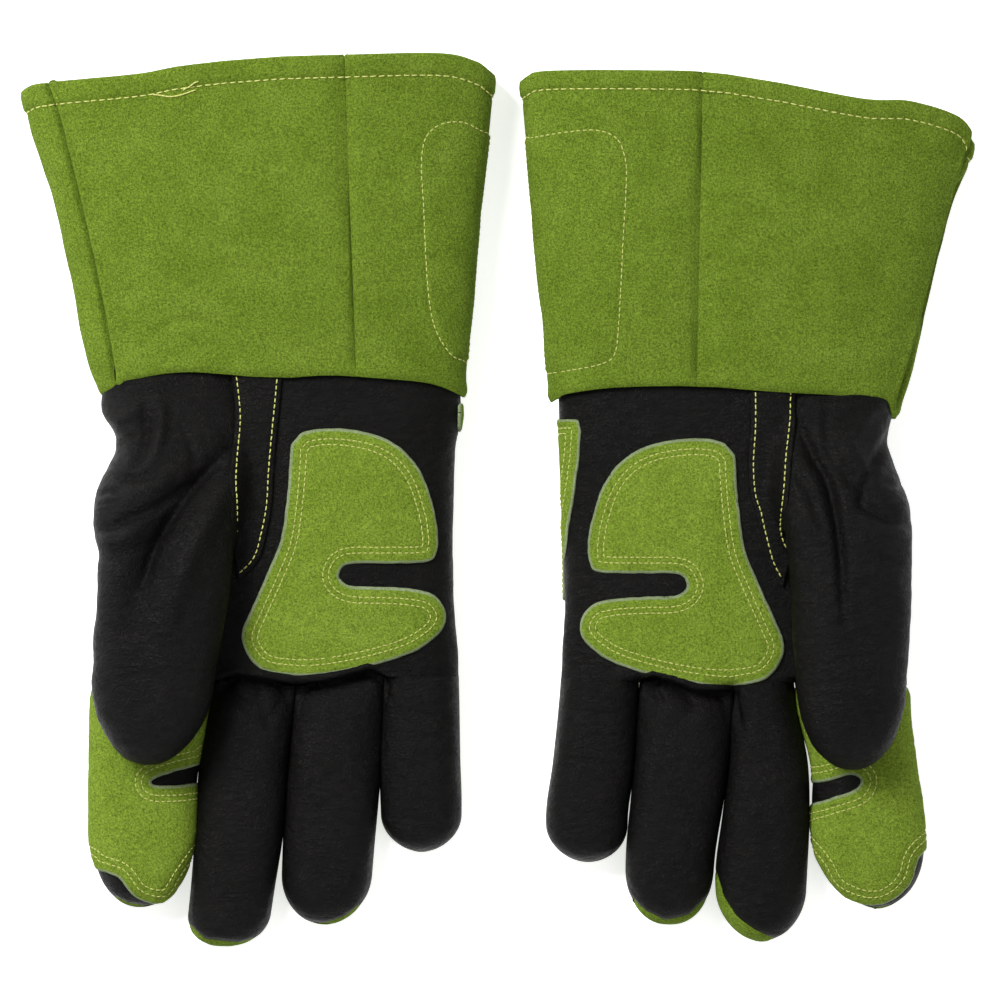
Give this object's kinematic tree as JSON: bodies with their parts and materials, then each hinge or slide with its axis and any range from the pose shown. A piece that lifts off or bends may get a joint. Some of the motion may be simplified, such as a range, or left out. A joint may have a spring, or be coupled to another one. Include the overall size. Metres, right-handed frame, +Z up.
{
  "type": "welding gloves",
  "caption": "Pair of gauntlet welding gloves lying palm up: flared suede cuffs, grain leather palms and thumbs, suede patches, open cuffs with lining, folding fingers.",
  "frame": {"origin": "centre of the pair's bounding box, on the surface the gloves lie on", "axes": "+Z up out of the palms, +Y towards the cuffs, +X from the right-hand glove to the left-hand glove"},
  "size_m": [0.3816, 0.3572, 0.0505],
  "materials": {
    "green_suede": "napped suede",
    "patch_suede": "brushed suede, paler and fuzzier",
    "black_grain": "soft grain, low sheen",
    "lining_cotton": "woven cotton fleece"
  },
  "bodies": {
    "right_cuff": {"right_cuff_palm_panel": "green_suede", "right_cuff_side_panel": "green_suede", "right_cuff_back_panel": "green_suede", "right_cuff_side_patch": "green_suede", "right_cuff_lining": "lining_cotton"},
    "right_hand": {"right_palm": "black_grain", "right_back": "green_suede", "right_thumb_strap": "black_grain", "right_thumb_base": "black_grain", "right_heel_patch": "patch_suede", "right_palm_patch": "patch_suede", "right_hand_lining": "lining_cotton", "right_index_base": "black_grain", "right_index_patch_base": "patch_suede"},
    "right_index": {"right_index_front": "black_grain", "right_index_back": "green_suede", "right_index_patch": "patch_suede"},
    "right_middle": {"right_middle_front": "black_grain", "right_middle_back": "green_suede", "right_middle_little_side_gusset": "black_grain", "right_middle_thumb_side_gusset": "black_grain"},
    "right_ring": {"right_ring_front": "black_grain", "right_ring_back": "green_suede", "right_ring_little_side_gusset": "black_grain", "right_ring_thumb_side_gusset": "black_grain"},
    "right_little": {"right_little_front": "black_grain", "right_little_back": "green_suede"},
    "right_thumb": {"right_thumb_front": "black_grain", "right_thumb_back": "black_grain"},
    "left_cuff": {"left_cuff_palm_panel": "green_suede", "left_cuff_side_panel": "green_suede", "left_cuff_back_panel": "green_suede", "left_cuff_side_patch": "green_suede", "left_cuff_lining": "lining_cotton"},
    "left_hand": {"left_palm": "black_grain", "left_back": "green_suede", "left_thumb_strap": "black_grain", "left_thumb_base": "black_grain", "left_heel_patch": "patch_suede", "left_palm_patch": "patch_suede", "left_hand_lining": "lining_cotton", "left_index_base": "black_grain", "left_index_patch_base": "patch_suede"},
    "left_index": {"left_index_front": "black_grain", "left_index_back": "green_suede", "left_index_patch": "patch_suede"},
    "left_middle": {"left_middle_front": "black_grain", "left_middle_back": "green_suede", "left_middle_little_side_gusset": "black_grain", "left_middle_thumb_side_gusset": "black_grain"},
    "left_ring": {"left_ring_front": "black_grain", "left_ring_back": "green_suede", "left_ring_little_side_gusset": "black_grain", "left_ring_thumb_side_gusset": "black_grain"},
    "left_little": {"left_little_front": "black_grain", "left_little_back": "green_suede"},
    "left_thumb": {"left_thumb_front": "black_grain", "left_thumb_back": "black_grain"}
  },
  "joints": [
    {"name": "right_wrist_fold", "type": "hinge", "parent": "right_cuff", "child": "right_hand", "pos_m": [-0.08687, 0.04937, 0.03], "axis": [-1, 0, 0], "range_deg": [0, 45]},
    {"name": "right_index_fold", "type": "hinge", "parent": "right_hand", "child": "right_index", "pos_m": [-0.14258, -0.10691, 0.0241], "axis": [-0.9947, 0.1031, 0], "range_deg": [0, 60]},
    {"name": "right_middle_fold", "type": "hinge", "parent": "right_hand", "child": "right_middle", "pos_m": [-0.09822, -0.07473, 0.023], "axis": [-1, 0, 0], "range_deg": [0, 60]},
    {"name": "right_ring_fold", "type": "hinge", "parent": "right_hand", "child": "right_ring", "pos_m": [-0.06422, -0.07473, 0.022], "axis": [-1, 0, 0], "range_deg": [0, 75]},
    {"name": "right_little_fold", "type": "hinge", "parent": "right_hand", "child": "right_little", "pos_m": [-0.03162, -0.07473, 0.02], "axis": [-1, 0, 0], "range_deg": [0, 75]},
    {"name": "right_thumb_fold", "type": "hinge", "parent": "right_hand", "child": "right_thumb", "pos_m": [-0.13382, -0.02473, 0.049], "axis": [-1, 0, 0], "range_deg": [0, 60]},
    {"name": "left_glove_apart", "type": "slide", "parent": "right_cuff", "child": "left_cuff", "axis": [1, 0, 0], "range_m": [0, 0.3]},
    {"name": "left_wrist_fold", "type": "hinge", "parent": "left_cuff", "child": "left_hand", "pos_m": [0.08988, 0.04537, 0.03], "axis": [-1, 0, 0], "range_deg": [0, 45]},
    {"name": "left_index_fold", "type": "hinge", "parent": "left_hand", "child": "left_index", "pos_m": [0.14515, -0.10695, 0.0241], "axis": [-0.9944, -0.1056, 0], "range_deg": [0, 60]},
    {"name": "left_middle_fold", "type": "hinge", "parent": "left_hand", "child": "left_middle", "pos_m": [0.10538, -0.07473, 0.023], "axis": [-1, 0, 0], "range_deg": [0, 60]},
    {"name": "left_ring_fold", "type": "hinge", "parent": "left_hand", "child": "left_ring", "pos_m": [0.07498, -0.07473, 0.022], "axis": [-1, 0, 0], "range_deg": [0, 75]},
    {"name": "left_little_fold", "type": "hinge", "parent": "left_hand", "child": "left_little", "pos_m": [0.03998, -0.07473, 0.02], "axis": [-1, 0, 0], "range_deg": [0, 75]},
    {"name": "left_thumb_fold", "type": "hinge", "parent": "left_hand", "child": "left_thumb", "pos_m": [0.13878, -0.02473, 0.049], "axis": [-1, 0, 0], "range_deg": [0, 60]}
  ]
}
